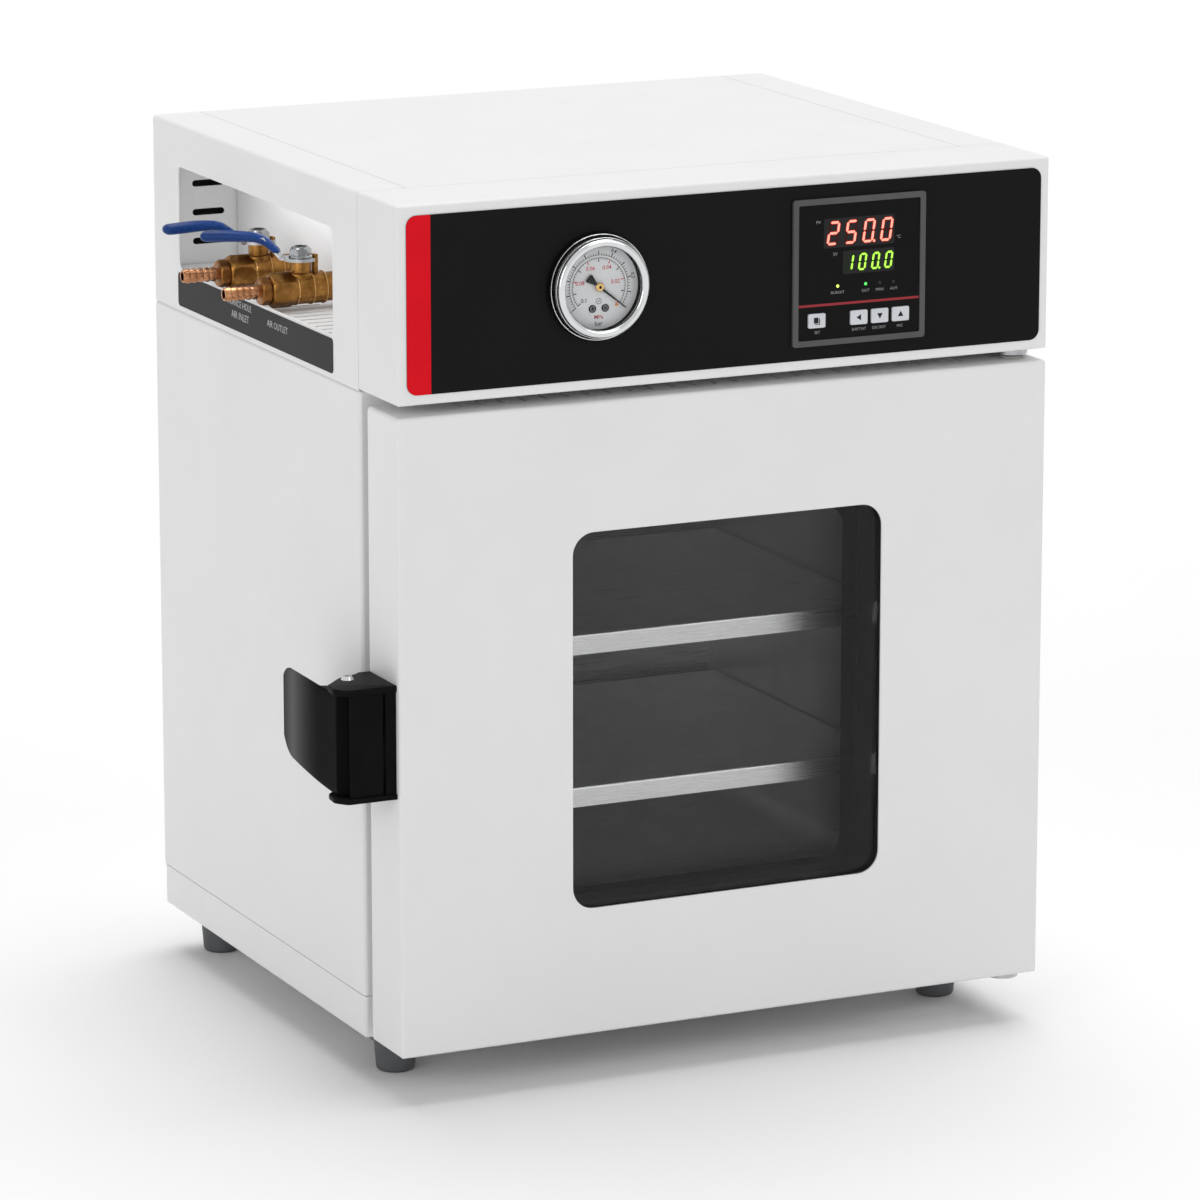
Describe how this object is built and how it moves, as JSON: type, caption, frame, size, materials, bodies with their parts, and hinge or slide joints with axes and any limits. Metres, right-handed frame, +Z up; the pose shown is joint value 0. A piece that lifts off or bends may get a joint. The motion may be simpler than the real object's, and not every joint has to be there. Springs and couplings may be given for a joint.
{
  "type": "vacuum drying oven",
  "caption": "Bench-top vacuum drying oven with a glazed hinged door, side latch, shelves, vacuum gauge, temperature controller, and ball valves with hose barbs in a side recess.",
  "frame": {"origin": "on the floor, under the middle of the oven's bounding box with the door closed", "axes": "+Z up; the door faces -Y; +X to the right seen from the front, so the valve recess and the latch are on the -X side"},
  "size_m": [0.511, 0.4342, 0.589],
  "materials": {
    "white_paint": "fine satin powder coat",
    "zinc_steel": "zinc-plated steel",
    "stainless": "brushed stainless steel",
    "aluminium": "brushed aluminium",
    "chrome": "polished chrome",
    "brass": "machined brass",
    "copper_brass": "bright copper-coloured brass",
    "label_film": "printed film",
    "fascia_film": "printed film, black with a red end",
    "silicone": "soft silicone",
    "rubber_grey": "dark grey rubber",
    "heater": "flat heater film",
    "wool": "mineral wool",
    "grey_plastic": "moulded bezel",
    "black_gloss": "dark display face",
    "black_plastic": "moulded, fine texture",
    "dial": "matt printed dial",
    "clear_glass": "clear",
    "tinted_glass": "grey tinted",
    "nylon": "natural nylon",
    "blue_vinyl": "dipped vinyl",
    "button_grey": "light grey cap"
  },
  "bodies": {
    "cabinet": {"outer_case": "white_paint", "base_pan": "white_paint", "front_panel": "white_paint", "rear_panel": "white_paint", "hood_front": "white_paint", "hood_left_panel": "white_paint", "hood_right_panel": "white_paint", "hood_top": "white_paint", "valve_tray": "white_paint", "side_label": "label_film", "fascia": "fascia_film", "chamber": "stainless", "door_seal": "silicone", "shelf_rails": "stainless", "shelf_upper": "aluminium", "shelf_lower": "aluminium", "heater_pads": "heater", "insulation": "wool", "temperature_probe": "stainless", "valve_bodies": "brass", "hose_barbs": "copper_brass", "valve_pipes": "copper_brass", "gauge_line": "copper_brass", "controller_case": "grey_plastic", "controller_face": "black_gloss", "gauge_case": "zinc_steel", "gauge_bezel": "chrome", "gauge_dial": "dial", "gauge_glass": "clear_glass", "power_entry": "black_plastic", "relay": "aluminium", "feet": "rubber_grey", "foot_screws": "zinc_steel", "panel_screws": "zinc_steel", "hinge_brackets": "zinc_steel", "latch_keeper": "zinc_steel"},
    "door": {"door_shell": "white_paint", "door_liner": "white_paint", "outer_glass": "tinted_glass", "window_tunnel": "black_plastic", "inner_glass": "clear_glass", "glass_frame": "aluminium", "hinge_bushes": "nylon", "latch_base": "black_plastic", "latch_screw": "chrome"},
    "latch_handle": {"latch_lever": "black_plastic"},
    "inlet_handle": {"inlet_stem": "stainless", "inlet_lever": "zinc_steel", "inlet_grip": "blue_vinyl", "inlet_nut": "chrome"},
    "vacuum_handle": {"vacuum_stem": "stainless", "vacuum_lever": "zinc_steel", "vacuum_grip": "blue_vinyl", "vacuum_nut": "chrome"},
    "set_button": {"button_set": "button_grey"},
    "left_button": {"button_left": "button_grey"},
    "down_button": {"button_down": "button_grey"},
    "up_button": {"button_up": "button_grey"},
    "needle": {"gauge_needle": "black_plastic"},
    "rocker": {"power_rocker": "black_plastic"}
  },
  "joints": [
    {"name": "door_hinge", "type": "hinge", "parent": "cabinet", "child": "door", "pos_m": [0.2405, -0.18311, 0.2435], "axis": [0, 0, 1], "range_deg": [0, 110]},
    {"name": "latch_pivot", "type": "hinge", "parent": "door", "child": "latch_handle", "pos_m": [-0.2325, -0.17311, 0.2435], "axis": [0, 0, 1], "range_deg": [0, 52]},
    {"name": "inlet_valve_turn", "type": "hinge", "parent": "cabinet", "child": "inlet_handle", "pos_m": [-0.1815, 0.02089, 0.498], "axis": [0, 0, -1], "range_deg": [-37, 53]},
    {"name": "vacuum_valve_turn", "type": "hinge", "parent": "cabinet", "child": "vacuum_handle", "pos_m": [-0.1815, 0.09488, 0.498], "axis": [0, 0, -1], "range_deg": [0, 90]},
    {"name": "set_press", "type": "slide", "parent": "cabinet", "child": "set_button", "axis": [0, 1, 0], "range_m": [0, 0.0008], "stiffness_N_per_m": 800},
    {"name": "left_press", "type": "slide", "parent": "cabinet", "child": "left_button", "axis": [0, 1, 0], "range_m": [0, 0.0008], "stiffness_N_per_m": 800},
    {"name": "down_press", "type": "slide", "parent": "cabinet", "child": "down_button", "axis": [0, 1, 0], "range_m": [0, 0.0008], "stiffness_N_per_m": 800},
    {"name": "up_press", "type": "slide", "parent": "cabinet", "child": "up_button", "axis": [0, 1, 0], "range_m": [0, 0.0008], "stiffness_N_per_m": 800},
    {"name": "needle_turn", "type": "hinge", "parent": "cabinet", "child": "needle", "pos_m": [-0.072, -0.20511, 0.528], "axis": [0, -1, 0], "range_deg": [0, 256], "stiffness_Nm_per_rad": 0.003},
    {"name": "rocker_tilt", "type": "hinge", "parent": "cabinet", "child": "rocker", "pos_m": [0.1935, 0.21169, 0.544], "axis": [-1, 0, 0], "range_deg": [0, 16]}
  ]
}
